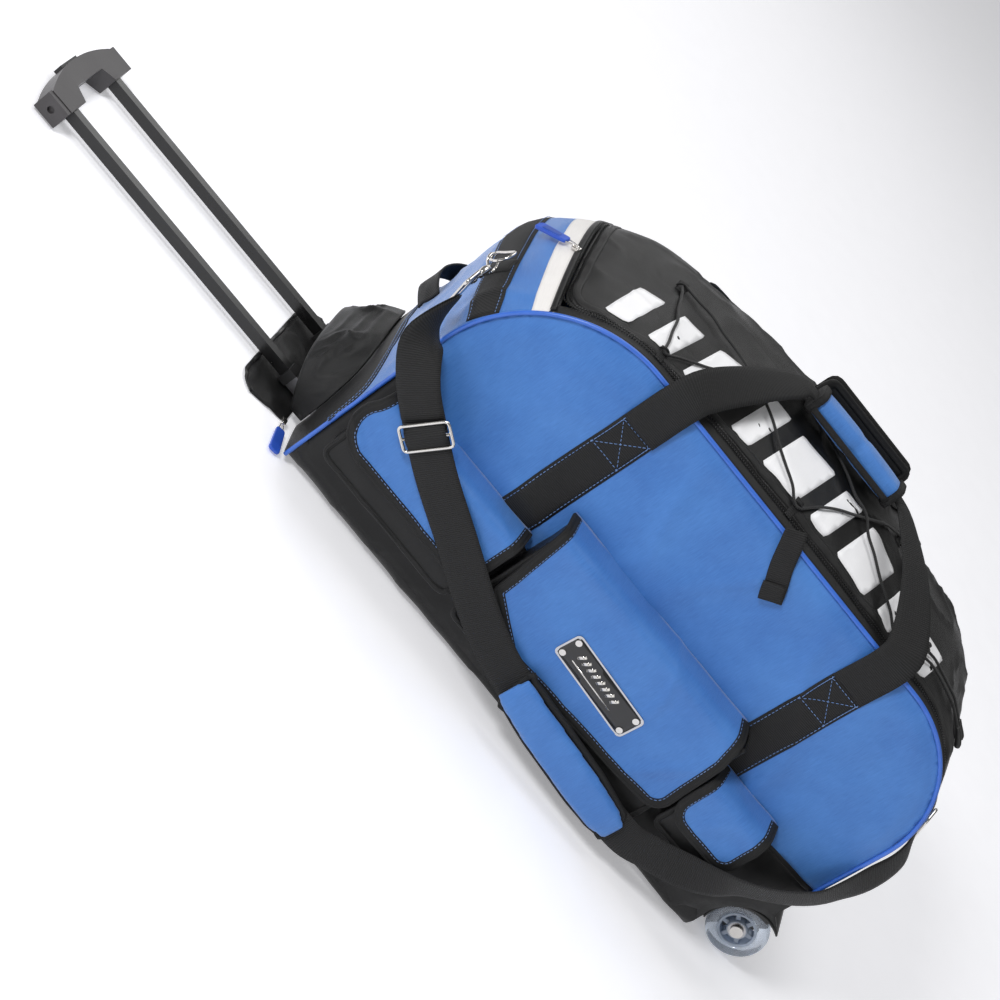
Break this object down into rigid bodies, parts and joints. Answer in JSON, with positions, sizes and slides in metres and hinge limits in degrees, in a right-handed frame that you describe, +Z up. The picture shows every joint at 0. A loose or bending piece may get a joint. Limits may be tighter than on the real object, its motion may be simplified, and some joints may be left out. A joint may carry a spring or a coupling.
{
  "type": "wheeled equipment duffel bag",
  "caption": "Wheeled soft equipment duffel with a telescopic pull handle, zipped crowned lid, laced bungee, carrying handles, flap pockets and a shoulder strap.",
  "frame": {"origin": "centre of the whole length and width, on the floor under the wheels and skid rails, with the pull handle out", "axes": "+X towards the wheels, -X towards the pull handle, -Y the side with the flap pockets, +Z up"},
  "size_m": [1.3097, 0.4548, 0.511],
  "materials": {
    "blue_fabric": "satin woven polyester, PVC backed",
    "black_fabric": "matt woven polyester",
    "white_fabric": "plain woven polyester",
    "webbing": "ribbed webbing",
    "piping_cord": "satin piping",
    "bungee": "braided elastic cord",
    "black_plastic": "moulded, fine texture",
    "stiff_board": "plain sheet",
    "grey_plastic": "moulded, soft sheen",
    "tube_metal": "black anodised",
    "steel": "zinc plated",
    "nickel": "nickel plated",
    "name_metal": "black enamel face, bright rim",
    "blue_rubber": "soft moulded rubber",
    "clear_tyre": "translucent urethane",
    "clear_hub": "translucent moulded"
  },
  "bodies": {
    "bag": {"base_board": "stiff_board", "base_skin": "black_fabric", "skid_rails": "black_plastic", "side_panel_near": "blue_fabric", "side_panel_far": "blue_fabric", "piping": "piping_cord", "gusset_handle_end": "blue_fabric", "gusset_wheel_end": "black_fabric", "white_stripes": "white_fabric", "zip_strips": "black_fabric", "zip_sliders": "nickel", "haul_webbing": "webbing", "front_pocket": "black_fabric", "middle_pocket": "black_fabric", "rear_pocket": "black_fabric", "far_pocket": "black_fabric", "handle_garage": "black_fabric", "outer_tubes": "tube_metal", "tube_brackets": "black_plastic", "wheel_housings": "black_plastic", "wheel_axles": "steel", "wheel_bearings": "steel", "ring_webbing": "webbing", "grab_handle": "webbing", "d_ring": "nickel", "end_ring": "nickel", "shoulder_strap": "webbing", "strap_slider": "nickel", "shoulder_pad": "blue_fabric", "snap_hook": "nickel"},
    "pull_handle": {"inner_tubes": "tube_metal", "grip": "grey_plastic", "grip_caps": "grey_plastic", "button_springs": "steel"},
    "button": {"release_button": "black_plastic", "push_rods": "steel"},
    "pins": {"lock_pins": "steel"},
    "near_wheel": {"tyre_near": "clear_tyre", "hub_near": "clear_hub"},
    "far_wheel": {"tyre_far": "clear_tyre", "hub_far": "clear_hub"},
    "lid": {"lid_panel": "black_fabric", "bungee_cord": "bungee", "bungee_loops": "webbing", "cord_lock": "black_plastic", "cord_ends": "black_plastic"},
    "lock_button": {"cord_lock_plunger": "black_plastic"},
    "near_handle": {"near_grip_loop": "webbing", "near_grip_wrap": "blue_fabric"},
    "far_handle": {"far_grip_loop": "webbing", "far_grip_wrap": "black_fabric"},
    "front_cover": {"front_flap": "blue_fabric"},
    "middle_cover": {"middle_flap": "blue_fabric", "name_plate": "name_metal", "plate_rivets": "steel"},
    "rear_cover": {"rear_flap": "blue_fabric"},
    "garage_cover": {"garage_flap": "black_fabric"},
    "garage_pull": {"garage_zip_pull": "blue_rubber"},
    "main_pull": {"main_zip_pull": "blue_rubber"},
    "gate": {"hook_gate": "nickel"}
  },
  "joints": [
    {"name": "handle_slide", "type": "slide", "parent": "bag", "child": "pull_handle", "axis": [-1, 0, 0], "range_m": [-0.374, 0]},
    {"name": "button_press", "type": "slide", "parent": "pull_handle", "child": "button", "axis": [1, 0, 0], "range_m": [0, 0.003], "stiffness_N_per_m": 900, "deforming": ["button_springs"]},
    {"name": "pins_retract", "type": "slide", "parent": "pull_handle", "child": "pins", "axis": [0, 0, 1], "range_m": [0, 0.0024]},
    {"name": "near_wheel_spin", "type": "hinge", "parent": "bag", "child": "near_wheel", "pos_m": [0.615, -0.13, 0.039], "axis": [0, 1, 0], "continuous": true},
    {"name": "far_wheel_spin", "type": "hinge", "parent": "bag", "child": "far_wheel", "pos_m": [0.615, 0.13, 0.039], "axis": [0, 1, 0], "continuous": true},
    {"name": "lid_open", "type": "hinge", "parent": "bag", "child": "lid", "pos_m": [0.57116, 0, 0.3799], "axis": [0, 1, 0], "range_deg": [0, 110], "deforming": ["near_grip_loop", "near_grip_wrap", "far_grip_loop", "far_grip_wrap"]},
    {"name": "lock_press", "type": "slide", "parent": "lid", "child": "lock_button", "axis": [0, 0, -1], "range_m": [0, 0.003], "stiffness_N_per_m": 400},
    {"name": "near_handle_drop", "type": "hinge", "parent": "bag", "child": "near_handle", "pos_m": [0.224, -0.1826, 0.3626], "axis": [1, 0, 0], "range_deg": [0, 150]},
    {"name": "far_handle_drop", "type": "hinge", "parent": "bag", "child": "far_handle", "pos_m": [0.224, 0.1826, 0.3626], "axis": [-1, 0, 0], "range_deg": [0, 150]},
    {"name": "front_cover_lift", "type": "hinge", "parent": "bag", "child": "front_cover", "pos_m": [-0.04, -0.1783, 0.186], "axis": [-1, 0, 0], "range_deg": [0, 12], "deforming": ["shoulder_strap", "shoulder_pad", "strap_slider"]},
    {"name": "middle_cover_lift", "type": "hinge", "parent": "bag", "child": "middle_cover", "pos_m": [0.237, -0.1783, 0.244], "axis": [-1, 0, 0], "range_deg": [0, 95]},
    {"name": "rear_cover_lift", "type": "hinge", "parent": "bag", "child": "rear_cover", "pos_m": [0.464, -0.1783, 0.19], "axis": [-1, 0, 0], "range_deg": [0, 95], "deforming": ["shoulder_strap", "shoulder_pad", "strap_slider"]},
    {"name": "garage_cover_lift", "type": "hinge", "parent": "bag", "child": "garage_cover", "pos_m": [-0.188, 0, 0.0009], "axis": [0, 1, 0], "range_deg": [0, 4]},
    {"name": "garage_pull_swing", "type": "hinge", "parent": "bag", "child": "garage_pull", "pos_m": [-0.189, -0.1329, 0.005], "axis": [-0.9798, -0.2, 0], "range_deg": [0, 50]},
    {"name": "main_pull_swing", "type": "hinge", "parent": "bag", "child": "main_pull", "pos_m": [-0.1483, -0.05038, 0.38537], "axis": [0.3281, 0.8724, 0.3623], "range_deg": [0, 120]},
    {"name": "gate_press", "type": "hinge", "parent": "bag", "child": "gate", "pos_m": [-0.18485, -0.11099, 0.31356], "axis": [-0.3708, 0.4304, -0.823], "range_deg": [0, 8], "stiffness_Nm_per_rad": 0.05}
  ],
  "couplings": [
    {"joint": "pins_retract", "follows": "button_press", "ratio": 0.8}
  ]
}
